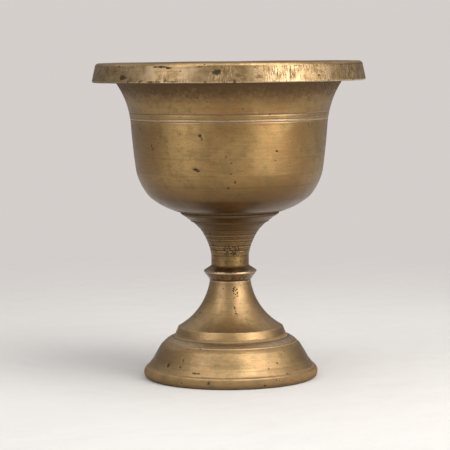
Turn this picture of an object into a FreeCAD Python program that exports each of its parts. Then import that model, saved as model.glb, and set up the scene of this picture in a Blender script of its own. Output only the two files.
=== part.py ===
"""Stemmed brass oil lamp (diya), in millimetres, +Z up, origin at the centre of the ring it stands on.

A heavy-rimmed bowl screws down onto a turned stem, and the stem's tenon is drawn into a hollow stepped
foot by a washer and a nut. The wick stands in a small socket in the middle of the bowl.
"""
import FreeCAD, Part
import math
import os

# Driving dimensions
TOTAL_HEIGHT = 125.0
RIM_RADIUS = 53.9            # widest place of the lamp, at the bottom of the rim's face
RIM_DEPTH = 7.5              # height of the rim's outer face
RIM_LAND_INNER = 45.4        # where the rim's flat top meets the mouth
SEAT_Z = 66.0                # underside of the bowl, where it lands on the washer
SEAT_RADIUS = 20.2
FLOOR_Z = 71.4               # inside floor of the bowl
BOSS_RADIUS = 7.2            # raised pad in the middle of that floor
BOSS_TOP_Z = 75.6

FLANGE_RADIUS = 19.5         # top of the stem
SEAM = 0.2                   # open line between bowl and stem, held open by the washer
WASHER_THICKNESS = 1.2
WASHER_RADIUS = 13.0
WASHER_SIDE_GAP = 0.35       # between the washer and the wall of its recess
WASHER_HOLE_GAP = 0.4        # between the washer and the thread
NECK_RADIUS = 7.5
KNOP_RADIUS = 10.5
KNOP_Z = 42.1
STEM_FOOT_Z = 38.6           # where the stem's shoulder stands on the foot
SHOULDER_RADIUS = 8.0

FOOT_RADIUS = 34.7
STEP_RADIUS = 21.0           # sharp edge under the flare of the foot
STEP_Z = 19.9
FOOT_CEILING_Z = 27.5        # inside ceiling of the hollow foot

TENON_RADIUS = 4.5
TENON_END_Z = 18.0
FIXED_FIT = 0.03             # radial gap of parts that are driven or soldered together
NUT_ACROSS_FLATS = 13.0
NUT_HEIGHT = 5.5
NUT_CHAMFER = 0.9
FOOT_WASHER_RADIUS = 8.0
FOOT_WASHER_THICKNESS = 1.4
FOOT_WASHER_GAP = 0.3

THREAD_PITCH = 2.5
THREAD_ROOT_RADIUS = 4.2     # of the stud
THREAD_CREST_RADIUS = 5.0
THREAD_ROOT_WIDTH = 1.3
THREAD_CREST_WIDTH = 0.5
THREAD_SIDE_GAP = 0.16       # along the axis, each side of the ridge
THREAD_CREST_GAP = 0.2
THREAD_TOP_Z = 64.2
THREAD_TURNS = 4
THREAD_LEAD = 0.25           # turns that the socket's groove starts early
THREAD_BURY = 0.25           # how far a ridge starts inside its cylinder
SOCKET_GAP = 0.15            # between the stud's root and the socket's crest
PILOT_RADIUS = 4.1           # smooth end of the stud, which guides it down the socket
PILOT_FIT = 0.05
STUD_END_Z = 50.6
STUD_TOP_Z = 71.0
STUD_CHAMFER = 0.8
STUD_SHANK_RADIUS = 5.0

HOLDER_SPIGOT_RADIUS = 2.6
HOLDER_SPIGOT_DEPTH = 2.6
HOLDER_RADIUS = 3.6
HOLDER_FLANGE_RADIUS = 5.4
HOLDER_HEIGHT = 9.0
WICK_BORE_RADIUS = 2.0
WICK_BORE_DEPTH = 10.0
WICK_FIT = 0.08
WICK_TOP_Z = 118.0
WICK_POINT = 12.0            # height over which the wick narrows
WICK_TIP_RADIUS = 0.5
CORE_RADIUS = 0.8
CORE_STOP = 5.0              # how far below the wick's top its splint ends

# Dimensions that follow from those
RIM_BOTTOM_Z = TOTAL_HEIGHT - RIM_DEPTH
RECESS_Z = SEAT_Z - WASHER_THICKNESS
FLANGE_Z = SEAT_Z - SEAM
THREAD_BOTTOM_Z = THREAD_TOP_Z - THREAD_TURNS * THREAD_PITCH
SOCKET_RADIUS = THREAD_ROOT_RADIUS + SOCKET_GAP
PILOT_BORE_RADIUS = PILOT_RADIUS + PILOT_FIT
TENON_BORE_RADIUS = TENON_RADIUS + FIXED_FIT
NUT_TOP_Z = FOOT_CEILING_Z - FOOT_WASHER_THICKNESS
HOLDER_BOTTOM_Z = BOSS_TOP_Z - HOLDER_SPIGOT_DEPTH
HOLDER_TOP_Z = BOSS_TOP_Z + HOLDER_HEIGHT
WICK_BOTTOM_Z = HOLDER_TOP_Z - WICK_BORE_DEPTH
CORE_TOP_Z = WICK_TOP_Z - CORE_STOP


def at(r, z):
    """A point of a section, at radius r and height z."""
    return FreeCAD.Vector(r, 0, z)


def turned(start, *steps):
    """Revolve a closed section about the lamp's axis.

    A step is (r, z) for a straight run to that point, or ((r, z), (r, z)) for an arc through the first
    point to the second.
    """
    edges = []
    here = at(*start)
    for step in steps + (start,):
        if isinstance(step[0], tuple):
            middle, end = at(*step[0]), at(*step[1])
            edges.append(Part.Arc(here, middle, end).toShape())
        else:
            end = at(*step)
            edges.append(Part.LineSegment(here, end).toShape())
        here = end
    section = Part.Face(Part.Wire(edges))
    return section.revolve(FreeCAD.Vector(0, 0, 0), FreeCAD.Vector(0, 0, 1), 360)


def rod(radius, bottom, top):
    """A plain cylinder on the lamp's axis."""
    return Part.makeCylinder(radius, top - bottom, FreeCAD.Vector(0, 0, bottom))


def helical_ridge(turns, inner, outer, inner_width, outer_width, lead_in=0.0):
    """A right-hand ridge of trapezoid section along the thread's helix, started lead_in turns early."""
    bottom = THREAD_BOTTOM_Z
    helix = Part.makeHelix(THREAD_PITCH, turns * THREAD_PITCH, inner)
    helix.translate(FreeCAD.Vector(0, 0, bottom))
    corners = [
        at(inner, bottom - inner_width / 2),
        at(outer, bottom - outer_width / 2),
        at(outer, bottom + outer_width / 2),
        at(inner, bottom + inner_width / 2),
    ]
    section = Part.makePolygon(corners + corners[:1])
    ridge = Part.Wire(helix.Edges).makePipeShell([section], True, True)
    ridge.rotate(FreeCAD.Vector(0, 0, 0), FreeCAD.Vector(0, 0, 1), -360 * lead_in)
    ridge.translate(FreeCAD.Vector(0, 0, -THREAD_PITCH * lead_in))
    return ridge


def width_at(radius):
    """Width of the thread's ridge at a radius, on its straight flanks."""
    share = (radius - THREAD_ROOT_RADIUS) / (THREAD_CREST_RADIUS - THREAD_ROOT_RADIUS)
    return THREAD_ROOT_WIDTH + share * (THREAD_CREST_WIDTH - THREAD_ROOT_WIDTH)


def bowl():
    """Belly, wall with two incised lines, flare and heavy rim, with a boss in the floor inside."""
    stud_bore = STUD_SHANK_RADIUS + FIXED_FIT
    holder_bore = HOLDER_SPIGOT_RADIUS + FIXED_FIT
    return turned(
        (stud_bore, SEAT_Z),
        (SEAT_RADIUS, SEAT_Z),
        ((26.6, 68.5), (31.8, 72.0)),                    # belly
        ((35.1, 76.9), (37.0, 82.2)),
        ((38.1, 91.5), (38.95, 101.3)),                  # wall
        (38.95, 102.2),
        (38.75, 102.5),                                  # lower incised line
        (39.15, 102.8),
        (39.5, 105.1),
        (39.35, 105.4),                                  # upper incised line
        (39.75, 105.7),
        ((41.3, 111.0), (44.3, 116.8)),                  # flare to the rim
        (44.9, 117.2),
        (RIM_RADIUS - 0.5, RIM_BOTTOM_Z),
        ((RIM_RADIUS - 0.1, RIM_BOTTOM_Z + 0.2), (RIM_RADIUS, RIM_BOTTOM_Z + 0.7)),
        (RIM_RADIUS - 1.2, TOTAL_HEIGHT - 1.7),
        ((RIM_RADIUS - 1.6, TOTAL_HEIGHT - 0.5), (RIM_RADIUS - 2.6, TOTAL_HEIGHT)),
        (RIM_LAND_INNER, TOTAL_HEIGHT),
        ((44.1, 124.4), (43.2, 123.0)),                  # mouth
        ((38.6, 113.0), (36.4, 103.0)),
        ((35.2, 90.0), (33.4, 80.5)),
        ((28.6, 74.2), (20.0, FLOOR_Z)),
        (BOSS_RADIUS + 1.2, FLOOR_Z),
        (BOSS_RADIUS, BOSS_TOP_Z),
        (holder_bore, BOSS_TOP_Z),
        (holder_bore, HOLDER_BOTTOM_Z),
        (0, HOLDER_BOTTOM_Z),
        (0, STUD_TOP_Z),
        (stud_bore, STUD_TOP_Z),
    )


def bowl_stud():
    """Threaded stud fixed in the bowl's underside, with a smooth pilot below its thread."""
    body = turned(
        (0, STUD_END_Z),
        (PILOT_RADIUS - STUD_CHAMFER, STUD_END_Z),
        (PILOT_RADIUS, STUD_END_Z + STUD_CHAMFER),
        (PILOT_RADIUS, THREAD_BOTTOM_Z - 1.2),
        (THREAD_ROOT_RADIUS, THREAD_BOTTOM_Z - 0.9),
        (THREAD_ROOT_RADIUS, SEAT_Z - 0.6),
        (STUD_SHANK_RADIUS, SEAT_Z),
        (STUD_SHANK_RADIUS, STUD_TOP_Z),
        (0, STUD_TOP_Z),
    )
    buried = THREAD_ROOT_RADIUS - THREAD_BURY
    ridge = helical_ridge(
        THREAD_TURNS, buried, THREAD_CREST_RADIUS, width_at(buried), THREAD_CREST_WIDTH
    )
    return body.fuse(ridge)


def seat_washer():
    """Leather packing washer that keeps the bowl off the stem."""
    hole = THREAD_CREST_RADIUS + WASHER_HOLE_GAP
    return rod(WASHER_RADIUS, RECESS_Z, SEAT_Z).cut(rod(hole, RECESS_Z, SEAT_Z))


def stem():
    """Tenon, shoulder, knop, neck and trumpet, with the threaded socket down its middle."""
    body = turned(
        (0, TENON_END_Z),
        (TENON_RADIUS - 0.7, TENON_END_Z),
        (TENON_RADIUS, TENON_END_Z + 0.7),
        (TENON_RADIUS, STEM_FOOT_Z),
        (SHOULDER_RADIUS, STEM_FOOT_Z),
        (KNOP_RADIUS - 0.3, KNOP_Z - 0.6),                 # knop, two cones meeting in a dull edge
        ((KNOP_RADIUS, KNOP_Z), (KNOP_RADIUS - 0.3, KNOP_Z + 0.5)),
        (NECK_RADIUS, KNOP_Z + 2.4),
        (NECK_RADIUS, 48.6),
        ((8.9, 53.5), (11.9, 59.0)),                       # trumpet
        (14.6, 61.7),
        (15.5, 62.0),                                      # turned ridge
        (15.9, 62.6),
        (FLANGE_RADIUS, FLANGE_Z - 0.6),
        (FLANGE_RADIUS, FLANGE_Z),
        (WASHER_RADIUS + WASHER_SIDE_GAP, FLANGE_Z),
        (WASHER_RADIUS + WASHER_SIDE_GAP, RECESS_Z),
        (SOCKET_RADIUS, RECESS_Z),
        (SOCKET_RADIUS, THREAD_BOTTOM_Z - 1.0),
        (PILOT_BORE_RADIUS, THREAD_BOTTOM_Z - 1.2),
        (PILOT_BORE_RADIUS, STUD_END_Z - 0.6),
        (0, STUD_END_Z - 2.4),
    )
    crest = THREAD_CREST_RADIUS + THREAD_CREST_GAP
    proud = SOCKET_RADIUS - THREAD_BURY
    gap = 2 * THREAD_SIDE_GAP
    turns = THREAD_TURNS + 1 + THREAD_LEAD
    groove = helical_ridge(
        turns, proud, crest, width_at(proud) + gap, width_at(crest) + gap, lead_in=THREAD_LEAD
    )
    return body.cut(groove)


def foot():
    """Hollow bell with one step, bored through its crown for the stem's tenon."""
    return turned(
        (TENON_BORE_RADIUS, FOOT_CEILING_Z),
        (TENON_BORE_RADIUS, STEM_FOOT_Z),
        (SHOULDER_RADIUS + 0.1, STEM_FOOT_Z),
        ((12.5, 27.5), (STEP_RADIUS, STEP_Z)),           # flare
        (22.0, 17.4),
        ((22.2, 16.7), (22.9, 16.2)),                    # foot of the step
        ((24.9, 15.35), (26.2, 14.35)),                  # shoulder
        (26.25, 14.2),                                   # fine line under it
        (26.45, 14.05),
        ((27.2, 13.4), (27.8, 12.8)),
        ((29.6, 9.9), (31.0, 7.3)),
        (33.4, 4.2),
        (34.1, 3.6),
        ((FOOT_RADIUS, 2.1), (34.3, 0.6)),               # lip
        (33.7, 0),
        (30.6, 0),
        ((28.4, 5.6), (26.4, 10.2)),                     # hollow
        ((24.2, 12.6), (20.4, 13.8)),
        ((17.4, 16.8), (14.2, 21.4)),
        ((12.1, 24.6), (9.4, FOOT_CEILING_Z)),
    )


def foot_washer():
    """Flat washer under the crown of the foot."""
    disc = rod(FOOT_WASHER_RADIUS, NUT_TOP_Z, FOOT_CEILING_Z)
    return disc.cut(rod(TENON_RADIUS + FOOT_WASHER_GAP, NUT_TOP_Z, FOOT_CEILING_Z))


def foot_nut():
    """Hexagonal nut with its corners turned down, drawn up under the washer."""
    bottom = NUT_TOP_Z - NUT_HEIGHT
    corner = NUT_ACROSS_FLATS / 2 / math.cos(math.pi / 6)
    corners = [
        FreeCAD.Vector(corner * math.cos(i * math.pi / 3), corner * math.sin(i * math.pi / 3), bottom)
        for i in range(6)
    ]
    hexagon = Part.Face(Part.makePolygon(corners + corners[:1]))
    blank = hexagon.extrude(FreeCAD.Vector(0, 0, NUT_HEIGHT))
    turned_down = turned(
        (TENON_BORE_RADIUS, bottom),
        (corner - NUT_CHAMFER, bottom),
        (corner, bottom + 0.5),
        (corner, NUT_TOP_Z - 0.5),
        (corner - NUT_CHAMFER, NUT_TOP_Z),
        (TENON_BORE_RADIUS, NUT_TOP_Z),
    )
    return blank.common(turned_down)


def wick_holder():
    """Short brass socket on the boss in the bowl's floor, open at its top."""
    return turned(
        (0, HOLDER_BOTTOM_Z),
        (HOLDER_SPIGOT_RADIUS, HOLDER_BOTTOM_Z),
        (HOLDER_SPIGOT_RADIUS, BOSS_TOP_Z),
        (HOLDER_FLANGE_RADIUS, BOSS_TOP_Z),
        (HOLDER_FLANGE_RADIUS, BOSS_TOP_Z + 1.0),
        ((HOLDER_RADIUS + 0.4, BOSS_TOP_Z + 1.6), (HOLDER_RADIUS, BOSS_TOP_Z + 3.0)),
        (HOLDER_RADIUS, HOLDER_TOP_Z - 0.8),
        ((HOLDER_RADIUS - 0.25, HOLDER_TOP_Z - 0.25), (HOLDER_RADIUS - 0.8, HOLDER_TOP_Z)),
        (WICK_BORE_RADIUS, HOLDER_TOP_Z),
        (WICK_BORE_RADIUS, WICK_BOTTOM_Z),
        (0, WICK_BOTTOM_Z),
    )


def wick_core():
    """Thin splint that stiffens the wick."""
    return rod(CORE_RADIUS, WICK_BOTTOM_Z, CORE_TOP_Z)


def wick():
    """Cotton wound round the splint, drawn to a point above it."""
    outer = WICK_BORE_RADIUS - WICK_FIT
    return turned(
        (CORE_RADIUS, WICK_BOTTOM_Z),
        (outer, WICK_BOTTOM_Z),
        (outer, WICK_TOP_Z - WICK_POINT),
        ((outer - 0.3, CORE_TOP_Z), (WICK_TIP_RADIUS, WICK_TOP_Z)),
        (0, WICK_TOP_Z),
        (0, CORE_TOP_Z),
        (CORE_RADIUS, CORE_TOP_Z),
    )


SUBPARTS = {
    "bowl": bowl,
    "bowl_stud": bowl_stud,
    "seat_washer": seat_washer,
    "stem": stem,
    "foot": foot,
    "foot_washer": foot_washer,
    "foot_nut": foot_nut,
    "wick_holder": wick_holder,
    "wick_core": wick_core,
    "wick": wick,
}

os.makedirs("parts", exist_ok=True)
for name, make in SUBPARTS.items():
    make().exportStep(f"parts/{name}.step")
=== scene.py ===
"""Stemmed brass oil lamp: the visible model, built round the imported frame.

Lengths in the property groups are metres. Outlines are given as (radius, height) in millimetres, because
that is how such a lamp is drawn on a turner's bench, and turned() brings them into the frame.
"""
import math
import random

import bmesh
import bpy
import numpy as np
from bpy.props import FloatProperty, FloatVectorProperty, IntProperty, PointerProperty
from mathutils import Matrix, Vector, kdtree, noise


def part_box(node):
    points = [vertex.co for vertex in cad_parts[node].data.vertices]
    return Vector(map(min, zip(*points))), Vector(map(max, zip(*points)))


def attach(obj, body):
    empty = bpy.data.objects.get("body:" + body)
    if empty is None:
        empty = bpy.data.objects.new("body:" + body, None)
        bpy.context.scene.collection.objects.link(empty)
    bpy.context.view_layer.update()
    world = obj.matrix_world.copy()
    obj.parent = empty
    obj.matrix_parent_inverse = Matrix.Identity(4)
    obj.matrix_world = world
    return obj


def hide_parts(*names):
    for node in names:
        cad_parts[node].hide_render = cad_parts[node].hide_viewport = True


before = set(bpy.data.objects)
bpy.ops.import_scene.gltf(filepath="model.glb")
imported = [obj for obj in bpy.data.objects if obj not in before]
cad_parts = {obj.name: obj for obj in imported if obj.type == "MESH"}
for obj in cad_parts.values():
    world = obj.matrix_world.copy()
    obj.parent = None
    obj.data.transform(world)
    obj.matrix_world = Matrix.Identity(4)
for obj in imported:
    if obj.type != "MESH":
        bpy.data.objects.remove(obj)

bl_info = {
    "name": "Stemmed brass oil lamp",
    "version": (1, 0, 0),
    "blender": (4, 5, 0),
    "location": "View3D > Sidebar > Oil lamp",
    "description": "Builds a turned brass oil lamp with its wick, and the stage it stands on",
    "category": "Object",
}

MM = 0.001
MERGE_DISTANCE = 2e-6
SLIVER_LENGTH = 1e-7
SHARP_ANGLE = math.radians(50)
CORNER_BEND = 420        # bend, in 1/m, at which a corner counts as fully hollow
EDGE_BEND = 650          # bend, in 1/m, at which an edge counts as fully worn
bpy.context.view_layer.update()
BOWL_LOW, BOWL_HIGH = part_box("bowl")
STEM_LOW, STEM_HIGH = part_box("stem")
FOOT_LOW, FOOT_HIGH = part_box("foot")
WICK_LOW, WICK_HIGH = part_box("wick")


# ---------------------------------------------------------------- outlines and turning

def arc(start, middle, end, spacing):
    """Points along the circle through three points, start left out, about spacing apart."""
    (ax, ay), (bx, by), (cx, cy) = start, middle, end
    twist = 2 * (ax * (by - cy) + bx * (cy - ay) + cx * (ay - by))
    a, b, c = ax * ax + ay * ay, bx * bx + by * by, cx * cx + cy * cy
    centre = (
        (a * (by - cy) + b * (cy - ay) + c * (ay - by)) / twist,
        (a * (cx - bx) + b * (ax - cx) + c * (bx - ax)) / twist,
    )
    radius = math.dist(centre, start)
    angles = [math.atan2(p[1] - centre[1], p[0] - centre[0]) for p in (start, middle, end)]
    sweep = (angles[2] - angles[0]) % (2 * math.pi)
    if (angles[1] - angles[0]) % (2 * math.pi) > sweep:
        sweep -= 2 * math.pi
    count = max(2, round(abs(sweep) * radius / spacing))
    turns = [angles[0] + sweep * (i + 1) / count for i in range(count)]
    return [(centre[0] + radius * math.cos(t), centre[1] + radius * math.sin(t)) for t in turns]


def run(start, end, spacing):
    """Points along a straight run, start left out."""
    count = max(1, round(math.dist(start, end) / spacing))
    return [
        tuple(p + (q - p) * (i + 1) / count for p, q in zip(start, end)) for i in range(count)
    ]


def outline(start, *steps, spacing=0.6):
    """Points of a section.

    A step is (r, z) for a straight run, ((r, z), (r, z)) for an arc, or a number: the spacing from then on.
    """
    points = [start]
    for step in steps:
        if isinstance(step, (int, float)):
            spacing = step
        elif isinstance(step[0], tuple):
            points += arc(points[-1], step[0], step[1], spacing)
        else:
            points += run(points[-1], step, spacing)
    return points


def turned(points, steps, closed=True, sectors=8):
    """A bmesh of a section, in millimetres, turned about the lamp's axis one sector at a time."""
    bm = bmesh.new()
    verts = [bm.verts.new((r * MM, 0, z * MM)) for r, z in points]
    edges = [bm.edges.new(pair) for pair in zip(verts, verts[1:])]
    if closed:
        edges.append(bm.edges.new((verts[-1], verts[0])))
    step = 2 * math.pi / sectors
    count = max(1, round(steps / sectors))
    bmesh.ops.spin(bm, geom=verts + edges, cent=(0, 0, 0), axis=(0, 0, 1), angle=step, steps=count)
    sector = bm.verts[:] + bm.edges[:] + bm.faces[:]
    for number in range(1, sectors):
        copy = bmesh.ops.duplicate(bm, geom=sector)["geom"]
        copied = [item for item in copy if isinstance(item, bmesh.types.BMVert)]
        bmesh.ops.rotate(bm, verts=copied, cent=(0, 0, 0), matrix=Matrix.Rotation(step * number, 3, "Z"))
    bmesh.ops.remove_doubles(bm, verts=bm.verts, dist=MERGE_DISTANCE)
    bmesh.ops.dissolve_degenerate(bm, edges=bm.edges, dist=SLIVER_LENGTH)
    bmesh.ops.recalc_face_normals(bm, faces=bm.faces)
    return bm


def measure_form(bm):
    """Writes two vertex masks, hollow in the corners and ridge along the edges, for the finishes to use."""
    bm.verts.ensure_lookup_table()
    bm.verts.index_update()
    bm.normal_update()
    count = len(bm.verts)
    place = np.array([v.co for v in bm.verts])
    normal = np.array([v.normal for v in bm.verts])
    ends = np.array([[v.index for v in e.verts] for e in bm.edges])
    ends = np.vstack([ends, ends[:, ::-1]])
    here, there = ends[:, 0], ends[:, 1]
    reach = place[there] - place[here]
    bend = (normal[here] * reach).sum(1) / np.maximum((reach**2).sum(1), 1e-14)
    links = np.bincount(here, minlength=count)
    curve = np.bincount(here, bend, count) / np.maximum(links, 1)
    for name, mask in (("hollow", curve / CORNER_BEND), ("ridge", -curve / EDGE_BEND)):
        mask = np.clip(mask, 0, 1)
        for _ in range(5):
            around = np.bincount(here, mask[there], count) / np.maximum(links, 1)
            mask = np.maximum(mask * 0.75, 0.5 * mask + 0.5 * around)
        layer = bm.verts.layers.float.new(name)
        for vert, value in zip(bm.verts, mask):
            vert[layer] = float(value)


def line_inside(bm, low, reach):
    """Marks what faces the axis, or up from a floor, as inside, above low and within reach; in metres."""
    layer = bm.verts.layers.float.new("inside")
    bm.normal_update()
    for vert in bm.verts:
        radius = math.hypot(vert.co.x, vert.co.y)
        outward = (vert.normal.x * vert.co.x + vert.normal.y * vert.co.y) / max(radius, MM)
        if vert.co.z > low and radius < reach and outward < 0.35:
            vert[layer] = 1.0


def band(bm, mask, low, high, amount, rise=0.25, fall=0.25):
    """Raises a mask between two heights; it fades in over rise and out over fall, in millimetres."""
    layer = bm.verts.layers.float[mask]
    for vert in bm.verts:
        share = min(1.0, (vert.co.z / MM - low) / rise, (high - vert.co.z / MM) / fall)
        if share > 0:
            vert[layer] = max(vert[layer], amount * share)


def uneven(bm, amount, size, seed=0.0):
    """Moves the surface in and out, as hand casting and turning leave it; lengths in millimetres."""
    bm.normal_update()
    shift = Vector((seed, 3 * seed, -2 * seed))
    moves = [
        v.normal * (amount * MM * noise.noise(v.co / (size * MM) + shift)) for v in bm.verts
    ]
    for vert, move in zip(bm.verts, moves):
        vert.co += move


def vertex_tree(bm):
    """A search tree of a mesh's vertices; their table is left ready for its indices."""
    tree = kdtree.KDTree(len(bm.verts))
    for index, vert in enumerate(bm.verts):
        tree.insert(vert.co, index)
    tree.balance()
    bm.verts.ensure_lookup_table()
    return tree


def mark(bm, marks, mask="stain"):
    """Presses casting pits, nicks and dents into the mesh and stains them.

    A mark is (degrees from the front, height, radius, half width, half height, depth, stain), lengths in
    millimetres. The faces under it are divided first, so that its edge is drawn by the mesh.
    """
    stain = bm.verts.layers.float.get(mask) or bm.verts.layers.float.new(mask)
    tree = vertex_tree(bm)
    centres = []
    for angle, height, radius, *_ in marks:
        turn = math.radians(angle)
        aim = Vector((math.sin(turn) * radius, -math.cos(turn) * radius, height)) * MM
        centres.append(tree.find(aim)[0])
    for largest in (math.inf, 0.5):
        near = set()
        for centre, (_, _, _, wide, tall, _, _) in zip(centres, marks):
            if max(wide, tall) < largest:
                for _, index, _ in tree.find_range(centre, max(wide, tall) * 1.25 * MM):
                    near.update(bm.verts[index].link_edges)
        bmesh.ops.subdivide_edges(bm, edges=list(near), cuts=1, use_grid_fill=True)
        tree = vertex_tree(bm)
    bm.normal_update()
    for number, (centre, entry) in enumerate(zip(centres, marks)):
        angle, _, _, wide, tall, depth, stained = entry
        across = Vector((math.cos(math.radians(angle)), math.sin(math.radians(angle)), 0))
        for place, index, _ in tree.find_range(centre, max(wide, tall) * 1.9 * MM):
            offset = (place - centre) / MM
            sideways = offset.dot(across) / wide
            upward = math.sqrt(max(offset.length_squared - offset.dot(across) ** 2, 0)) / tall
            ragged = 0.4 * noise.noise(offset * 1.3 + Vector((number, 0, 0)))
            ragged += 0.3 * noise.noise(offset * 3.7 + Vector((0, number, 0)))
            inside = min(1.0, 1.1 * max(0.0, 1.25 - math.hypot(sideways, upward) + ragged))
            vert = bm.verts[index]
            vert.co -= vert.normal * (depth * MM * inside)
            vert[stain] = max(vert[stain], inside * stained)


def scatter(seed, count, angles, heights, radii, sizes, depth, stain):
    """Marks strewn over a patch, the same ones every time for a seed. radii belong to the two heights."""
    chance = random.Random(seed)
    marks = []
    for _ in range(count):
        share = chance.random()
        height = heights[0] + share * (heights[1] - heights[0])
        radius = radii[0] + share * (radii[1] - radii[0])
        wide, tall = chance.uniform(*sizes), chance.uniform(*sizes)
        strength = chance.uniform(0.4, 1.0)
        angle = chance.uniform(*angles)
        marks.append((angle, height, radius, wide, tall, depth * strength, stain * strength))
    return tuple(marks)


def piece(name, bm, body, material, replaces=()):
    """Makes a finished mesh a piece of the lamp that rides on a body."""
    mesh = bpy.data.meshes.new(name)
    bm.to_mesh(mesh)
    bm.free()
    mesh.shade_smooth()
    mesh.set_sharp_from_angle(angle=SHARP_ANGLE)
    mesh.materials.append(material)
    obj = bpy.data.objects.new(name, mesh)
    bpy.context.scene.collection.objects.link(obj)
    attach(obj, body)
    if replaces:
        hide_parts(*replaces)
    return obj


# ---------------------------------------------------------------- finishes

class Sockets:
    """Shorthand for wiring one node tree: each call adds a node, feeds its inputs and returns an output."""

    def __init__(self, tree):
        self.tree = tree

    def feed(self, node, inputs):
        for name, value in inputs.items():
            socket = node.inputs[name]
            if isinstance(value, bpy.types.NodeSocket):
                self.tree.links.new(value, socket)
            else:
                socket.default_value = value

    def add(self, kind, out=0, settings=None, **inputs):
        node = self.tree.nodes.new(kind)
        for name, value in (settings or {}).items():
            setattr(node, name, value)
        self.feed(node, {name.replace("_", " "): value for name, value in inputs.items()})
        return node.outputs[out]

    def maths(self, operation, *values, clamp=False):
        node = self.tree.nodes.new("ShaderNodeMath")
        node.operation = operation
        node.use_clamp = clamp
        self.feed(node, dict(enumerate(values)))
        return node.outputs[0]

    def times(self, first, second):
        return self.maths("MULTIPLY", first, second)

    def plus(self, first, second):
        return self.maths("ADD", first, second)

    def minus(self, first, second, clamp=False):
        return self.maths("SUBTRACT", first, second, clamp=clamp)

    def larger(self, first, second):
        return self.maths("MAXIMUM", first, second)

    def bump(self, height, distance=MM):
        """A surface's normal over a relief of so many times distance, in metres."""
        return self.add("ShaderNodeBump", Height=height, Distance=distance, Strength=1.0)

    def vector(self, operation, *values, out="Vector"):
        node = self.tree.nodes.new("ShaderNodeVectorMath")
        node.operation = operation
        self.feed(node, dict(enumerate(values)))
        return node.outputs[out]

    def between(self, value, low, high, smooth=True):
        """0 below low, 1 above high; low may be the larger, which turns the mask round."""
        node = self.tree.nodes.new("ShaderNodeMapRange")
        node.interpolation_type = "SMOOTHSTEP" if smooth else "LINEAR"
        if low > high:
            low, high = high, low
            self.feed(node, {"To Min": 1.0, "To Max": 0.0})
        self.feed(node, {"Value": value, "From Min": low, "From Max": high})
        return node.outputs[0]

    def blend(self, share, first, second, mode="MIX"):
        node = self.tree.nodes.new("ShaderNodeMix")
        node.data_type = "RGBA"
        node.blend_type = mode
        self.feed(node, {0: share, 6: first, 7: second})
        return node.outputs[2]

    def scaled(self, vector, factor):
        node = self.tree.nodes.new("ShaderNodeVectorMath")
        node.operation = "SCALE"
        self.feed(node, {"Vector": vector, "Scale": factor})
        return node.outputs["Vector"]

    def noise(self, vector, scale, detail=3.0, rough=0.55, out=0):
        node = self.tree.nodes.new("ShaderNodeTexNoise")
        self.feed(node, {"Vector": vector, "Scale": scale, "Detail": detail, "Roughness": rough})
        return node.outputs[out]


def new_group(name, inputs, outputs):
    """A shader node group with float inputs and outputs, or colour ones where the default is a tuple."""
    group = bpy.data.node_groups.new(name, "ShaderNodeTree")
    for direction, sockets in (("INPUT", inputs), ("OUTPUT", outputs)):
        for label, default in sockets.items():
            kind = "NodeSocketColor" if isinstance(default, tuple) else "NodeSocketFloat"
            socket = group.interface.new_socket(name=label, in_out=direction, socket_type=kind)
            if direction == "INPUT":
                socket.default_value = default
    given = group.nodes.new("NodeGroupInput").outputs
    result = group.nodes.new("NodeGroupOutput").inputs
    return group, Sockets(group), given, result


def patina_group():
    """Broad clouds, mottle and fine speckle of old brass."""
    group, s, given, result = new_group(
        "Patina", {"Offset": 0.0}, {"Cloud": 0.0, "Mottle": 0.0, "Speckle": 0.0, "Streak": 0.0}
    )
    place = s.add("ShaderNodeTexCoord", "Object")
    place = s.vector("ADD", place, s.add("ShaderNodeCombineXYZ", X=given["Offset"], Z=given["Offset"]))
    streaked = s.vector("MULTIPLY", place, (1.0, 1.0, 0.22))
    group.links.new(s.noise(place, 42.0, 3.0, 0.5), result["Cloud"])
    group.links.new(s.noise(place, 260.0, 4.0, 0.6), result["Mottle"])
    group.links.new(s.noise(place, 1500.0, 3.0, 0.7), result["Speckle"])
    group.links.new(s.noise(streaked, 520.0, 3.0, 0.6), result["Streak"])
    return group


def round_the_axis(s, place):
    """Height, radius and the direction from the axis, as sockets."""
    parts = s.tree.nodes.new("ShaderNodeSeparateXYZ")
    s.feed(parts, {"Vector": place})
    level = s.vector("MULTIPLY", place, (1.0, 1.0, 0.0))
    radius = s.vector("LENGTH", level, out="Value")
    return parts.outputs["Z"], radius, s.vector("NORMALIZE", level)


def turning_group():
    """Concentric tool lines that run right round, and short streaks that start and stop along them."""
    group, s, given, result = new_group(
        "Turning lines", {"Pitch": 1.0, "Break": 0.3, "Length": 10.0}, {"Lines": 0.0, "Streaks": 0.0}
    )
    place = s.add("ShaderNodeTexCoord", "Object")
    height, radius, direction = round_the_axis(s, place)
    scale = s.maths("DIVIDE", 1000.0, given["Pitch"])
    wander = s.times(s.noise(place, 36.0, 1.0), given["Break"])
    across = s.times(radius, scale)
    up = s.times(height, scale)
    group.links.new(
        s.noise(s.add("ShaderNodeCombineXYZ", X=across, Y=wander, Z=up), 1.0, 3.0, 0.65), result["Lines"]
    )
    along = s.scaled(direction, s.maths("DIVIDE", 60.0, given["Length"]))
    tilted = s.add("ShaderNodeCombineXYZ", Z=s.plus(up, s.times(across, 0.7)))
    group.links.new(s.noise(s.vector("ADD", along, tilted), 1.0, 4.0, 0.7), result["Streaks"])
    return group


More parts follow.
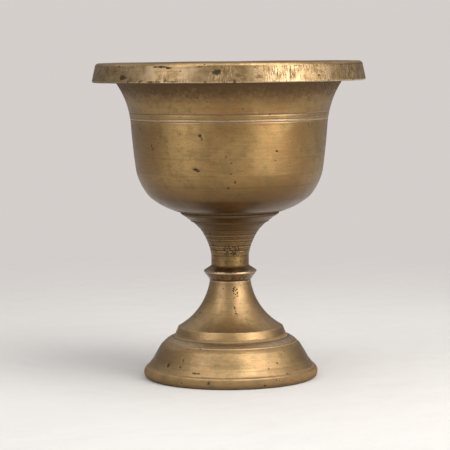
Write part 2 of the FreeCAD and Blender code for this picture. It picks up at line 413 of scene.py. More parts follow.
def file_group():
    """Fine upright marks of a file, in patches, between two heights and outside a radius."""
    group, s, given, result = new_group(
        "File marks", {"Low": 0.0, "High": 1.0, "Radius": 0.0, "Spacing": 0.4}, {"Cut": 0.0, "Zone": 0.0}
    )
    place = s.add("ShaderNodeTexCoord", "Object")
    height, radius, direction = round_the_axis(s, place)
    along = s.scaled(direction, s.maths("DIVIDE", 50.0, given["Spacing"]))
    tilted = s.vector("ADD", along, s.add("ShaderNodeCombineXYZ", Z=s.times(height, 260.0)))
    lines = s.between(s.noise(tilted, 1.0, 3.0, 0.7), 0.5, 0.66)
    patches = s.between(s.noise(place, 75.0, 3.0), 0.42, 0.58)
    soft = 0.4 * MM
    above = s.between(s.minus(height, given["Low"]), 0.0, soft)
    below = s.between(s.minus(given["High"], height), 0.0, soft)
    beyond = s.between(s.minus(radius, given["Radius"]), 0.0, soft)
    zone = s.times(s.times(above, below), beyond)
    group.links.new(zone, result["Zone"])
    group.links.new(s.times(s.times(lines, patches), zone), result["Cut"])
    return group


def pits_group():
    """Scattered casting pits: how deep the surface is in one, and a mask of its dark inside."""
    group, s, given, result = new_group(
        "Casting pits", {"Spacing": 3.0, "Amount": 0.3, "Size": 0.2}, {"Depth": 0.0, "Dark": 0.0}
    )
    place = s.add("ShaderNodeTexCoord", "Object")
    bent = s.vector("ADD", place, s.scaled(s.noise(place, 900.0, 2.0, out=1), 0.0007))
    cell = s.tree.nodes.new("ShaderNodeTexVoronoi")
    s.feed(cell, {"Vector": bent, "Scale": s.maths("DIVIDE", 1000.0, given["Spacing"])})
    chance = s.add("ShaderNodeSeparateColor", Color=cell.outputs["Color"])
    chosen = s.maths("LESS_THAN", chance, given["Amount"])
    patch = s.between(s.noise(place, 55.0, 2.0), 0.42, 0.6)
    reach = s.times(given["Size"], s.plus(0.35, chance.node.outputs[1]))
    inside = s.minus(1.0, s.maths("DIVIDE", cell.outputs["Distance"], reach), clamp=True)
    deep = s.times(s.times(inside, chosen), patch)
    group.links.new(deep, result["Depth"])
    group.links.new(s.between(deep, 0.05, 0.5), result["Dark"])
    return group


def wear_group():
    """Rubbed edges and filled corners, from the masks that the mesh carries, broken up by noise. The corner
    mask also carries bands of painted shade, and the edge mask a band of painted light on the foot.
    """
    group, s, given, result = new_group(
        "Wear",
        {"Breakup": 0.5},
        {"Rubbed_and_lit": 0.0, "Grime_and_shade": 0.0, "Stain": 0.0, "Inside": 0.0, "Verdigris": 0.0},
    )
    place = s.add("ShaderNodeTexCoord", "Object")
    ragged = s.times(s.minus(s.noise(place, 620.0, 4.0, 0.65), 0.5), given["Breakup"])
    for name, low, high, output in (
        ("ridge", 0.12, 0.55, "Rubbed_and_lit"),
        ("hollow", 0.06, 0.5, "Grime_and_shade"),
        ("stain", 0.04, 0.8, "Stain"),
        ("inside", 0.1, 0.9, "Inside"),
        ("verdigris", 0.1, 0.9, "Verdigris"),
    ):
        mask = s.add("ShaderNodeAttribute", "Fac", {"attribute_name": name})
        weighed = s.times(mask, s.plus(1.0, s.times(ragged, 2.0)))
        group.links.new(s.between(weighed, low, high), result[output])
    return group


def use_group(s, name, **inputs):
    """Places one of the shared groups in a material; each is made the first time it is asked for."""
    node = s.tree.nodes.new("ShaderNodeGroup")
    node.node_tree = bpy.data.node_groups.get(name) or GROUPS[name]()
    s.feed(node, inputs)
    return node.outputs


GROUPS = {
    "Patina": patina_group,
    "Turning lines": turning_group,
    "File marks": file_group,
    "Casting pits": pits_group,
    "Wear": wear_group,
}


def darker(tone, share):
    """A colour property's value, darkened to a share of itself, with full alpha."""
    return tuple(c * share for c in tone[:3]) + (1.0,)


def new_material(name):
    material = bpy.data.materials.new(name)
    material.use_nodes = True
    return material, Sockets(material.node_tree), material.node_tree.nodes["Principled BSDF"]


def old_brass(name, look, lines=(0.9, 0.3), scored=0.3, relief=0.05, pits=(3.0, 0.25, 0.16), underside_shade=0.0,
              darkness=0.0, worn=0.0, rub=0.65, caked_and_shade=0.9, coat=0.15, haze=0.0, offset=0.0, filed=None):
    """Handled, never polished brass: patina over turned metal, rubbed edges and black corners. Faces that
    look down are darkened as painted shade, some bands in the corner mask are painted shade, and one band
    in the edge mask is painted light.
    """
    material, s, surface = new_material(name)
    grime_and_shade, brown = look.grime_and_shade, look.brown
    cloud = use_group(s, "Patina", Offset=offset)
    turning = use_group(s, "Turning lines", Pitch=lines[0], Break=lines[1])
    fine = use_group(s, "Turning lines", Pitch=lines[0] * 0.32, Break=lines[1], Length=7.0)["Streaks"]
    pit = use_group(s, "Casting pits", Spacing=pits[0], Amount=pits[1], Size=pits[2])
    wear = use_group(s, "Wear", Breakup=0.8)

    def tinted(share, low, high, amount, tone, under):
        return s.blend(s.times(s.between(share, low, high), amount), under, tone)

    colour = s.blend(s.between(cloud["Cloud"], 0.36, 0.64), look.bare, brown)
    colour = tinted(cloud["Mottle"], 0.46, 0.66, 0.75, look.olive, colour)
    colour = tinted(turning["Streaks"], 0.5, 0.72, 0.5, brown, colour)
    colour = tinted(turning["Streaks"], 0.5, 0.3, 0.4, look.bare, colour)
    colour = tinted(fine, 0.5, 0.68, scored, grime_and_shade, colour)
    colour = tinted(turning["Lines"], 0.54, 0.7, scored, grime_and_shade, colour)
    colour = tinted(cloud["Speckle"], 0.58, 0.72, 0.6, grime_and_shade, colour)
    # Painted shade: faces that look down are blended towards the grime colour, darker the further down they
    # face.
    if underside_shade:
        facing = s.add("ShaderNodeSeparateXYZ", "Z", Vector=s.add("ShaderNodeNewGeometry", "Normal"))
        colour = tinted(facing, 0.05, -0.75, underside_shade, grime_and_shade, colour)
    # Darkening of the whole piece: dark patina, and on the stem painted shade under the bowl.
    if darkness:
        colour = s.blend(darkness, colour, grime_and_shade)
    colour = s.blend(worn, colour, look.rubbed_and_lit)
    # The edge mask carries real wear and, on the foot's shoulder, painted light.
    colour = tinted(wear["Rubbed_and_lit"], 0.0, 1.0, rub, look.rubbed_and_lit, colour)
    dull = s.larger(wear["Grime_and_shade"], s.larger(pit["Dark"], wear["Stain"]))
    if filed:
        cut = use_group(s, "File marks", Low=filed[0], High=filed[1], Radius=filed[2], Spacing=0.45)
        bare = s.times(cut["Zone"], s.between(cloud["Mottle"], 0.7, 0.3))
        colour = s.blend(s.times(bare, 0.5), colour, look.rubbed_and_lit)
        colour = s.blend(s.times(cut["Cut"], 0.75), colour, grime_and_shade)
        dull = s.larger(dull, s.times(cut["Cut"], 0.6))
    burnt = s.plus(0.35, s.times(cloud["Cloud"], 0.6))
    residue = s.times(wear["Inside"], burnt)
    colour = s.blend(residue, colour, look.residue)
    # The corner mask carries real grime and, in some bands, painted shade.
    colour = tinted(wear["Grime_and_shade"], 0.0, 1.0, caked_and_shade, grime_and_shade, colour)
    colour = tinted(pit["Dark"], 0.0, 1.0, 0.9, look.pit, colour)
    colour = tinted(wear["Stain"], 0.0, 0.5, 0.8, grime_and_shade, colour)
    colour = tinted(wear["Stain"], 0.45, 1.0, 0.85, look.pit, colour)
    colour = s.blend(wear["Verdigris"], colour, look.verdigris)
    rough = s.plus(look.roughness + haze, s.times(cloud["Mottle"], 0.14))
    rough = s.plus(rough, s.times(s.minus(fine, 0.5), 0.25))
    rough = s.plus(rough, s.times(dull, 0.3))
    rough = s.minus(rough, s.times(wear["Rubbed_and_lit"], 0.08))
    dull = s.larger(dull, s.larger(wear["Verdigris"], s.times(residue, 0.6)))
    metal = s.minus(1.0, s.times(dull, 0.7))
    height = s.times(turning["Lines"], relief)
    height = s.plus(height, s.times(turning["Streaks"], relief * 0.7))
    height = s.plus(height, s.times(fine, relief * 0.35))
    height = s.minus(height, s.times(pit["Depth"], 0.16))
    height = s.plus(height, s.times(cloud["Speckle"], 0.025))
    height = s.plus(height, s.times(cloud["Mottle"], 0.05))
    if filed:
        height = s.minus(height, s.times(cut["Cut"], 0.06))
    bump = s.bump(height)
    s.feed(surface, {
        "Base Color": colour,
        "Metallic": metal,
        "Roughness": rough,
        "Normal": bump,
        "Specular IOR Level": 0.2,
        "Coat Weight": s.times(coat, s.minus(1.0, dull, clamp=True)),
        "Coat Roughness": 0.3,
    })
    return material


def plain_brass(name, look):
    """Cut brass of the hidden fittings, dulled by age."""
    material, s, surface = new_material(name)
    cloud = use_group(s, "Patina", Offset=0.3)
    turning = use_group(s, "Turning lines", Pitch=0.35, Break=0.2)["Lines"]
    wear = use_group(s, "Wear", Breakup=0.4)
    colour = s.blend(s.between(cloud["Mottle"], 0.4, 0.7), look.fitting, look.brown)
    colour = s.blend(s.times(s.between(turning, 0.5, 0.7), 0.35), colour, look.grime_and_shade)
    colour = s.blend(s.times(wear["Grime_and_shade"], 0.6), colour, look.grime_and_shade)
    rough = s.plus(0.3, s.times(cloud["Mottle"], 0.2))
    height = s.plus(s.times(turning, 0.05), s.times(cloud["Speckle"], 0.02))
    bump = s.bump(height)
    s.feed(surface, {"Base Color": colour, "Metallic": 1.0, "Roughness": rough, "Normal": bump})
    return material


def oiled_leather(name, look):
    material, s, surface = new_material(name)
    place = s.add("ShaderNodeTexCoord", "Object")
    edges = {"feature": "DISTANCE_TO_EDGE"}
    cell = s.add("ShaderNodeTexVoronoi", "Distance", edges, Vector=place, Scale=1300.0)
    crease = s.between(cell, 0.0, 0.16)
    tone = s.noise(place, 320.0, 4.0)
    dark = darker(look.leather, 0.35)
    colour = s.blend(s.between(tone, 0.35, 0.7), look.leather, dark)
    colour = s.blend(s.minus(1.0, crease), colour, dark)
    height = s.plus(s.times(crease, 0.05), s.times(tone, 0.05))
    bump = s.bump(height)
    rough = s.plus(0.42, s.times(tone, 0.3))
    s.feed(surface, {"Base Color": colour, "Roughness": rough, "Normal": bump})
    return material


def spun_cotton(name, look):
    """Cotton yarn: fine fibres along each strand, soiled with oil low down and scorched at the tip."""
    material, s, surface = new_material(name)
    place = s.add("ShaderNodeTexCoord", "Object")
    parts = s.tree.nodes.new("ShaderNodeSeparateXYZ")
    s.feed(parts, {"Vector": place})
    height_mm = s.maths("DIVIDE", parts.outputs["Z"], MM)
    fibre = s.noise(s.vector("MULTIPLY", place, (1.0, 1.0, 0.16)), 7000.0, 4.0, 0.7)
    fluff = s.noise(place, 1500.0, 3.0)
    ends = s.plus(height_mm, s.times(s.noise(place, 700.0, 3.0), 3.0))
    top = WICK_HIGH.z / MM
    colour = s.blend(s.between(fibre, 0.35, 0.7), look.cotton, darker(look.cotton, 0.72))
    oiled = s.times(s.between(ends, top - 18.0, top - 26.0), 0.6)
    colour = s.blend(oiled, colour, look.oil)
    colour = s.blend(s.between(ends, top - 7.0, top - 2.0), colour, look.soot)
    relief = s.plus(s.times(fibre, 0.14), s.times(fluff, 0.08))
    bump = s.bump(relief)
    s.feed(surface, {"Base Color": colour, "Roughness": 0.95, "Normal": bump})
    return material


def split_cane(name, look):
    material, s, surface = new_material(name)
    place = s.add("ShaderNodeTexCoord", "Object")
    grain = s.noise(s.vector("MULTIPLY", place, (1.0, 1.0, 0.05)), 6000.0, 3.0, 0.6)
    tone = s.noise(place, 140.0, 2.0)
    colour = s.blend(s.between(grain, 0.3, 0.7), look.cane, darker(look.cane, 0.55))
    colour = s.blend(s.times(tone, 0.3), colour, look.oil)
    bump = s.bump(s.times(grain, 0.05))
    s.feed(surface, {"Base Color": colour, "Roughness": 0.62, "Normal": bump})
    return material


def floor_paint(name, look, fade_from, fade_to):
    """Plain pale floor that fades into the backdrop far from the lamp, so that no horizon shows."""
    material, s, surface = new_material(name)
    place = s.add("ShaderNodeTexCoord", "Object")
    tone = s.noise(place, 9.0, 3.0)
    colour = s.blend(s.between(tone, 0.3, 0.7), look.floor, darker(look.floor, 0.97))
    bump = s.bump(s.noise(place, 55.0, 4.0), 1.2 * MM)
    s.feed(surface, {"Base Color": colour, "Roughness": 0.85, "Normal": bump})
    distant = s.between(s.vector("LENGTH", place, out="Value"), fade_from, fade_to)
    left = s.minus(1.0, distant)
    distant = s.minus(1.0, s.maths("POWER", left, 1.6))
    seen = s.add("ShaderNodeLightPath", "Is Camera Ray")
    glow = s.tree.nodes.new("ShaderNodeEmission")
    s.feed(glow, {"Color": look.backdrop})
    mixed = s.tree.nodes.new("ShaderNodeMixShader")
    s.feed(mixed, {0: s.times(distant, seen), 1: surface.outputs[0], 2: glow.outputs[0]})
    s.feed(s.tree.nodes["Material Output"], {"Surface": mixed.outputs[0]})
    return material


# ---------------------------------------------------------------- what a user may change

def length(name, description, default):
    return FloatProperty(name=name, description=description, default=default, unit="LENGTH", precision=4)


def tint(name, description, default):
    return FloatVectorProperty(
        name=name, description=description, default=(*default, 1.0), size=4, subtype="COLOR",
        min=0.0, max=1.0
    )


def degrees(name, description, default):
    return FloatProperty(name=name, description=description, default=math.radians(default), subtype="ANGLE")


def number(name, description, default, low, high):
    return IntProperty(
        name=name, description=description, default=default, min=low, max=high, subtype="UNSIGNED"
    )


def watts(name, description, default):
    return FloatProperty(name=name, description=description, default=default, min=0.0, unit="POWER")


class BowlSizes(bpy.types.PropertyGroup):
    rim_radius: length("Rim radius", "Radius at the bottom of the rim's face", BOWL_HIGH.x)
    rim_depth: length("Rim depth", "Height of the rim's outer face", 7.5 * MM)
    seat_radius: length("Seat radius", "Radius of the flat that lands on the stem", 20.2 * MM)
    land_inner: length("Mouth radius", "Radius where the rim's flat top meets the mouth", 45.4 * MM)
    floor_height: length("Floor height", "Height of the inside floor above the table", 71.4 * MM)
    sag: length("Rim sag", "How much lower the rim lies on its left than on its right", 0.5 * MM)
    steps: number("Steps", "Divisions round the bowl", 344, 64, 480)


class StemSizes(bpy.types.PropertyGroup):
    flange_radius: length("Flange radius", "Radius of the stem's top", STEM_HIGH.x)
    neck_radius: length("Neck radius", "Radius of the plain neck", 7.5 * MM)
    knop_radius: length("Knop radius", "Radius of the sharp ring under the neck", 10.5 * MM)
    groove_pitch: length("Groove pitch", "Spacing of the coarse tool marks on the trumpet", 0.92 * MM)
    groove_depth: length("Groove depth", "Depth of those tool marks", 0.07 * MM)
    steps: number("Steps", "Divisions round the stem", 240, 48, 400)


class FootSizes(bpy.types.PropertyGroup):
    radius: length("Foot radius", "Radius of the lip it stands on", FOOT_HIGH.x)
    step_radius: length("Step radius", "Radius of the sharp edge under the flare", 21.0 * MM)
    step_height: length("Step height", "Height of that edge above the table", 19.9 * MM)
    steps: number("Steps", "Divisions round the foot", 344, 64, 480)


class WickSizes(bpy.types.PropertyGroup):
    radius: length("Wick radius", "Radius over the strands", WICK_HIGH.x)
    lay: length("Lay", "Height in which a strand goes once round", 9.0 * MM)
    strands: number("Strands", "Strands twisted together", 3, 2, 6)


class Finishes(bpy.types.PropertyGroup):
    bare: tint("Bare brass", "Brass where the patina is thin", (0.39, 0.25, 0.098))
    brown: tint("Brown patina", "The usual colour of the lamp", (0.282, 0.16, 0.058))
    # Grime also serves as painted shade: on faces that look down, under the bowl's rim and over the stem.
    olive: tint("Olive patina", "Mottle over the brown", (0.24, 0.163, 0.066))
    grime_and_shade: tint("Grime_and_shade", "What fills corners and tool marks", (0.088, 0.049, 0.019))
    pit: tint("Pits", "Inside of casting pits and nicks", (0.028, 0.019, 0.012))
    # Rubbed brass also serves as painted light, on the foot's shoulder under the step.
    rubbed_and_lit: tint("Rubbed edges", "Brass kept bright by handling", (0.61, 0.46, 0.30))
    residue: tint("Residue", "Burnt butter in the bowl, raw casting under the foot", (0.10, 0.06, 0.03))
    verdigris: tint("Verdigris", "Green corrosion in a few spots", (0.16, 0.17, 0.09))
    fitting: tint("Fittings", "Cut brass of washer, nut, stud and wick socket", (0.60, 0.42, 0.19))
    leather: tint("Leather", "Packing washer", (0.10, 0.05, 0.025))
    cotton: tint("Cotton", "Clean wick", (0.78, 0.72, 0.60))
    oil: tint("Oil", "Cotton and cane soaked with oil", (0.36, 0.25, 0.11))
    soot: tint("Soot", "Burnt tip of the wick", (0.012, 0.010, 0.009))
    cane: tint("Cane", "Splint inside the wick", (0.55, 0.40, 0.22))
    floor: tint("Floor", "Pale floor", (0.655, 0.642, 0.628))
    backdrop: tint("Backdrop", "What shows behind the lamp", (0.66, 0.62, 0.60))
    ambient: tint("Ambient", "Light from straight overhead", (0.58, 0.57, 0.55))
    horizon: tint("Horizon", "Light from all round, level with the lamp", (0.17, 0.166, 0.162))
    roughness: FloatProperty(
        name="Roughness", description="Roughness of handled brass", default=0.30, min=0.05, max=1.0,
        subtype="FACTOR"
    )


class StageSettings(bpy.types.PropertyGroup):
    distance: length("Camera distance", "Level distance from the lamp's axis to the camera", 0.7445)
    height: length("Camera height", "Height of the camera above the table", 0.12994)
    aside: length("Camera aside", "How far the camera stands left of the lamp's axis", 0.00194)
    pitch: degrees("Pitch", "How far the camera looks down", 5.338)
    roll: degrees("Roll", "Turn of the camera about its view", -0.42)
    lens: FloatProperty(name="Lens", description="Focal length", default=150.4, unit="CAMERA")
    key: watts("Key light", "Power of the tall light on the right", 1.85)
    fill: watts("Fill light", "Power of the tall light on the left", 0.9)
    front: watts("Front light", "Power of the low wide light in front", 0.11)
    top: watts("Top light", "Power of the brightest light overhead", 4.2)
    back: watts("Back lights", "Power of each of the two lights behind", 0.12)


def settings():
    return bpy.context.scene.oil_lamp


class LampSettings(bpy.types.PropertyGroup):
    bowl: PointerProperty(type=BowlSizes, name="Bowl", description="Sizes of the bowl")
    stem: PointerProperty(type=StemSizes, name="Stem", description="Sizes of the stem")
    foot: PointerProperty(type=FootSizes, name="Foot", description="Sizes of the foot")
    wick: PointerProperty(type=WickSizes, name="Wick", description="Sizes of the wick")
    finishes: PointerProperty(type=Finishes, name="Finishes", description="Colours of the lamp")
    stage: PointerProperty(type=StageSettings, name="Stage", description="Camera and lights")


# ---------------------------------------------------------------- the pieces

RIM_MARKS = (
    (-48, 119.6, 53.7, 2.8, 1.1, 0.06, 0.75),
    (-49, 119.4, 53.7, 1.1, 0.7, 0.08, 1.0),
    (-5, 121.8, 53.4, 1.8, 1.2, 0.06, 0.9),
    (-4, 122.3, 53.3, 0.9, 0.7, 0.10, 1.0),
    (3.5, 120.4, 53.6, 2.0, 1.4, 0.03, 0.4),
    (12, 120.2, 53.6, 2.2, 1.2, 0.04, 0.35),
    (-28, 123.6, 52.8, 2.2, 0.45, 0.08, 0.8),
    (-25, 123.3, 52.9, 1.3, 0.5, 0.06, 0.7),
    (-31, 123.7, 52.8, 1.0, 0.4, 0.06, 0.7),
    (-34, 118.2, 53.9, 2.6, 0.3, 0.16, 0.8),
    (-29, 118.3, 53.9, 1.8, 0.3, 0.12, 0.6),
    (-23, 118.3, 53.9, 2.4, 0.3, 0.12, 0.7),
    (-11, 123.6, 52.8, 1.2, 0.3, 0.06, 0.5),
    (39, 119.9, 53.7, 0.6, 0.4, 0.10, 0.9),
    (60, 121.0, 53.5, 0.9, 1.4, 0.04, 0.5),
    (-70, 121.5, 53.3, 2.2, 1.3, 0.03, 0.4),
    (-78, 118.3, 53.9, 1.5, 0.4, 0.10, 0.6),
    (28, 123.9, 52.7, 1.8, 0.25, 0.06, 0.5),
    (104, 121.0, 53.4, 2.4, 1.3, 0.06, 0.7),
    (163, 119.5, 53.7, 2.8, 0.8, 0.10, 0.6),
    (-121, 122.7, 53.0, 1.2, 0.8, 0.08, 0.8),
    (-158, 118.2, 53.9, 2.4, 0.4, 0.16, 0.6),
    *scatter(1, 34, (-180, 180), (118.0, 118.5), (53.9, 53.9), (0.25, 1.1), 0.12, 0.7),
    *scatter(2, 26, (-180, 180), (123.4, 124.0), (52.8, 52.6), (0.25, 0.9), 0.07, 0.6),
    *scatter(3, 36, (-180, 180), (119.0, 123.0), (53.7, 53.0), (0.15, 0.4), 0.06, 0.6),
)
BOWL_MARKS = (
    (-21.3, 84.7, 37.5, 0.9, 0.4, 0.2, 1.0),
    (-20.2, 84.35, 37.45, 1.0, 0.45, 0.25, 1.0),
    (-19.0, 84.0, 37.4, 0.9, 0.4, 0.2, 1.0),
    (-16.4, 97.8, 38.6, 0.8, 0.8, 0.05, 0.65),
    (-15.6, 96.4, 38.5, 0.6, 0.7, 0.05, 0.5),
    (-28.6, 98.1, 38.6, 1.5, 0.9, 0.04, 0.28),
    (-50.5, 92.3, 38.2, 1.4, 1.2, 0.04, 0.35),
    (-51.5, 93.0, 38.2, 0.5, 0.5, 0.08, 0.6),
    (-44.6, 94.5, 38.4, 0.35, 0.35, 0.06, 0.7),
    (-63, 99.5, 38.8, 0.8, 1.2, 0.04, 0.3),
    (-2.5, 89.6, 38.1, 0.35, 0.9, 0.06, 0.5),
    (1, 87.2, 38.0, 0.35, 0.35, 0.06, 0.6),
    (3, 80.1, 36.5, 0.45, 0.8, 0.08, 0.7),
    (-0.8, 77.7, 35.5, 0.5, 0.5, 0.08, 0.9),
    (6, 74.8, 33.9, 0.5, 0.4, 0.06, 0.6),
    (-22, 112.7, 42.3, 1.2, 1.0, 0.04, 0.4),
    (-16.5, 111.8, 41.8, 0.8, 0.6, 0.05, 0.6),
    (-12, 110.4, 41.3, 0.5, 0.4, 0.05, 0.45),
    (47, 110.2, 41.2, 1.4, 1.2, 0.03, 0.3),
    (7, 107.4, 40.3, 0.5, 0.35, 0.05, 0.6),
    (27, 88.0, 38.0, 0.4, 0.4, 0.04, 0.5),
    (-40, 79.0, 36.2, 0.6, 0.6, 0.04, 0.35),
    (38, 86.5, 37.8, 0.5, 0.5, 0.06, 0.4),
    (92, 94.0, 38.4, 1.0, 0.7, 0.10, 0.7),
    (131, 82.0, 37.0, 0.8, 0.5, 0.12, 0.8),
    (-97, 88.0, 38.0, 0.9, 0.6, 0.10, 0.8),
    (-143, 99.0, 38.8, 0.9, 0.5, 0.10, 0.7),
    (176, 90.5, 38.2, 0.5, 0.9, 0.08, 0.6),
    *scatter(4, 70, (-180, 180), (74.0, 102.0), (34.0, 39.0), (0.1, 0.26), 0.05, 0.45),
    *scatter(5, 24, (-180, 180), (105.0, 116.0), (39.7, 44.0), (0.2, 0.6), 0.05, 0.4),
)
BOWL_CRUSTS = (
    (-7.5, 82.0, 37.0, 0.6, 0.35, -0.03, 0.9),
    (-10.4, 78.1, 35.7, 0.5, 0.6, -0.03, 0.8),
    (-9.0, 76.9, 35.2, 0.35, 0.35, -0.03, 0.7),
    (70, 80.0, 36.5, 0.6, 0.5, -0.03, 0.7),
    (-155, 84.0, 37.4, 0.7, 0.5, -0.03, 0.8),
)
FOOT_MARKS = (
    (-52.7, 7.2, 31.0, 0.8, 1.1, 0.30, 1.0),
    (-39, 10.2, 29.5, 0.5, 1.2, 0.06, 0.5),
    (-40, 7.4, 31.0, 0.6, 0.6, 0.10, 0.7),
    (-26, 5.9, 32.0, 1.8, 0.5, 0.06, 0.5),
    (-23, 5.7, 32.2, 0.7, 0.4, 0.08, 0.7),
    (-15, 2.6, 34.6, 0.8, 0.8, 0.12, 0.6),
    (-33, 2.0, 34.7, 0.6, 0.5, 0.10, 0.5),
    (22, 1.3, 34.6, 0.8, 0.5, 0.16, 0.7),
    (37, 8.9, 30.0, 0.6, 0.5, 0.08, 0.6),
    (28, 7.2, 31.0, 0.5, 0.4, 0.08, 0.5),
    (-62, 4.9, 32.8, 0.6, 0.5, 0.10, 0.6),
    (48, 12.6, 28.0, 0.7, 0.6, 0.05, 0.4),
    *scatter(6, 22, (6, 19), (32.5, 37.0), (10.0, 8.5), (0.14, 0.34), 0.12, 1.4),
    *scatter(7, 12, (5, 14), (25.0, 32.5), (14.0, 10.0), (0.15, 0.4), 0.08, 1.2),
    (-19, 36.0, 8.8, 0.4, 0.4, 0.05, 0.6),
    (-24, 33.0, 9.9, 0.4, 0.7, 0.04, 0.4),
    (88, 8.5, 30.2, 0.8, 0.8, 0.16, 0.9),
    (141, 12.0, 28.4, 0.9, 0.5, 0.10, 0.7),
    (-112, 5.8, 31.9, 0.8, 0.9, 0.16, 0.9),
    (-170, 25.0, 14.5, 0.7, 0.5, 0.10, 0.8),
    *scatter(8, 54, (-180, 180), (5.0, 13.5), (32.6, 27.0), (0.12, 0.4), 0.08, 0.55),
    *scatter(9, 24, (-180, 180), (0.8, 3.6), (34.4, 34.3), (0.25, 0.8), 0.12, 0.6),
    *scatter(10, 16, (-180, 180), (20.5, 34.0), (19.5, 9.5), (0.2, 0.4), 0.06, 0.7),
)
FOOT_CRUSTS = (
    (24, 24.2, 15.1, 0.9, 0.6, -0.02, 0.7),
    (30, 23.4, 15.9, 0.6, 0.4, -0.02, 0.6),
    (-60, 17.8, 21.9, 0.8, 0.5, -0.02, 0.5),
    (115, 15.9, 23.3, 1.2, 0.4, -0.02, 0.7),
)
STEM_MARKS = (
    *scatter(11, 64, (-20, 28), (49.0, 52.8), (7.8, 8.8), (0.14, 0.36), 0.16, 1.5),
    *scatter(12, 40, (28, 340), (48.8, 53.0), (7.8, 8.9), (0.15, 0.4), 0.12, 1.0),
    (15, 47.4, 7.5, 0.3, 0.3, 0.10, 0.5),
    (-12, 46.0, 7.5, 0.5, 0.9, 0.04, 0.4),
    (34, 46.5, 7.5, 0.4, 0.6, 0.05, 0.5),
    (-47, 57.5, 11.1, 0.8, 0.5, 0.10, 0.9),
    (20, 56.0, 10.2, 1.0, 0.2, 0.06, 0.6),
    (-25, 55.0, 9.7, 0.9, 0.2, 0.06, 0.6),
    (128, 52.0, 8.5, 0.6, 0.5, 0.12, 0.9),
    (-150, 47.0, 7.5, 0.6, 0.5, 0.10, 0.8),
)


def bowl_outline(size):
    rim, top = size.rim_radius / MM, BOWL_HIGH.z / MM
    seat_z, seat_r, floor_z = BOWL_LOW.z / MM, size.seat_radius / MM, size.floor_height / MM
    under = top - size.rim_depth / MM
    return outline(
        (5.03, seat_z), 2.0, (seat_r, seat_z), 0.62, ((26.6, 68.5), (31.8, 72.0)),
        ((35.1, 76.9), (37.0, 82.2)), ((38.1, 91.5), (38.95, 101.3)), 0.2, (39.08, 102.35),
        (38.97, 102.52), (39.14, 102.7), 0.35, (39.24, 103.45), (39.2, 103.6), (39.3, 103.75),
        (39.54, 105.2), 0.2, (39.46, 105.38), (39.66, 105.58), 0.5, ((41.3, 111.0), (44.3, 116.8)),
        0.25, ((44.6, 117.15), (45.2, 117.3)), 0.9, (rim - 1.2, under), 0.2, (rim - 0.6, under),
        ((rim - 0.15, under + 0.2), (rim, under + 0.7)), 0.45, (rim - 1.15, top - 1.6), 0.2,
        ((rim - 1.5, top - 0.55), (rim - 2.5, top)), 0.7, (size.land_inner / MM, top), 0.3,
        ((44.1, 124.4), (43.2, 123.0)), 2.0, ((38.6, 113.0), (36.4, 103.0)),
        ((35.2, 90.0), (33.4, 80.5)), ((28.6, 74.2), (20.0, floor_z)), (8.6, floor_z), 0.8,
        (7.2, 75.4), (6.9, 75.6), (2.63, 75.6), 0.8, (2.63, 73.0), (0.0, 73.0), (0.0, 71.0),
        (5.03, 71.0),
    )


class LAMP_OT_bowl(bpy.types.Operator):
    """Turns the bowl with its heavy rim, two incised lines and the boss in its floor"""
    bl_idname = "oil_lamp.bowl"
    bl_label = "Bowl"

    def execute(self, context):
        size, look = settings().bowl, settings().finishes
        bm = turned(bowl_outline(size), size.steps)
        under = BOWL_HIGH.z - size.rim_depth
        for vert in bm.verts:
            share = min(1.0, max(0.0, (vert.co.z - under + 6 * MM) / (6 * MM)))
            vert.co.z += 0.5 * size.sag * share * vert.co.x / size.rim_radius
        uneven(bm, 0.10, 22.0, 1.0)
        uneven(bm, 0.05, 7.0, 3.0)
        uneven(bm, 0.02, 3.0, 2.0)
        measure_form(bm)
        band(bm, "hollow", 65.9, 67.1, 1.0)
        # Painted shade: the flare under the overhanging rim is darkened, over the dark patina there.
        band(bm, "hollow", 106.0, 117.9, 0.5, rise=11.0)
        band(bm, "hollow", 124.7, 126.0, 0.3)
        line_inside(bm, 68 * MM, 45 * MM)
        mark(bm, RIM_MARKS + BOWL_MARKS)
        mark(bm, BOWL_CRUSTS, "verdigris")
        rim = (under + 0.3 * MM, BOWL_HIGH.z - 0.8 * MM, size.land_inner + 5 * MM)
        finish = old_brass(
            "bowl brass", look, lines=(0.8, 0.35), scored=0.27, relief=0.03, underside_shade=0.75, coat=0.2,
            filed=rim
        )
        piece("lamp_bowl", bm, "bowl", finish, ["bowl"])
        return {"FINISHED"}


def grooved(points, low, high, pitch, depth):
    """Cuts the concentric tool marks of a coarse finish into a stretch of an outline."""
    cut = []
    for r, z in points:
        share = min(1.0, max(0.0, (z - low) / 2.0)) * min(1.0, max(0.0, (high - z) / 1.0))
        wave = math.sin(2 * math.pi * z / pitch) + 0.6 * math.sin(2 * math.pi * z / (pitch * 1.73) + 1.0)
        cut.append((r - depth * share * (1 + 0.6 * wave), z))
    return cut


def stem_outline(size):
    flange, neck, knop = size.flange_radius / MM, size.neck_radius / MM, size.knop_radius / MM
    seam_z, low = STEM_HIGH.z / MM, STEM_LOW.z / MM
    outside = outline(
        (8.0, 38.6), 0.3, (knop - 0.35, 41.5), 0.15, ((knop, 42.1), (knop - 0.3, 42.6)), 0.3,
        (neck + 0.25, 44.2), ((neck + 0.05, 44.35), (neck, 44.6)), (neck, 48.6), 0.2,
        ((8.9, 53.5), (11.9, 59.0)), (14.6, 61.7), 0.15, (15.5, 62.0), (15.9, 62.6), 0.2,
        (flange, seam_z - 0.6), ((flange + 0.05, seam_z - 0.3), (flange - 0.1, seam_z)),
    )
    outside = grooved(outside, 48.5, 64.8, size.groove_pitch / MM, size.groove_depth / MM)
    socket = outline(
        outside[-1],
        0.8, (13.35, seam_z), (13.35, 64.8), (5.2, 64.8), 0.6, (5.2, 53.0), (4.15, 52.6),
        (4.15, 50.0), (0.0, 48.2),
    )
    tenon = outline((0.0, low), 0.6, (3.8, low), (4.5, low + 0.7), (4.5, 38.6), (8.0, 38.6))
    return tenon[:-1] + outside + socket[1:]


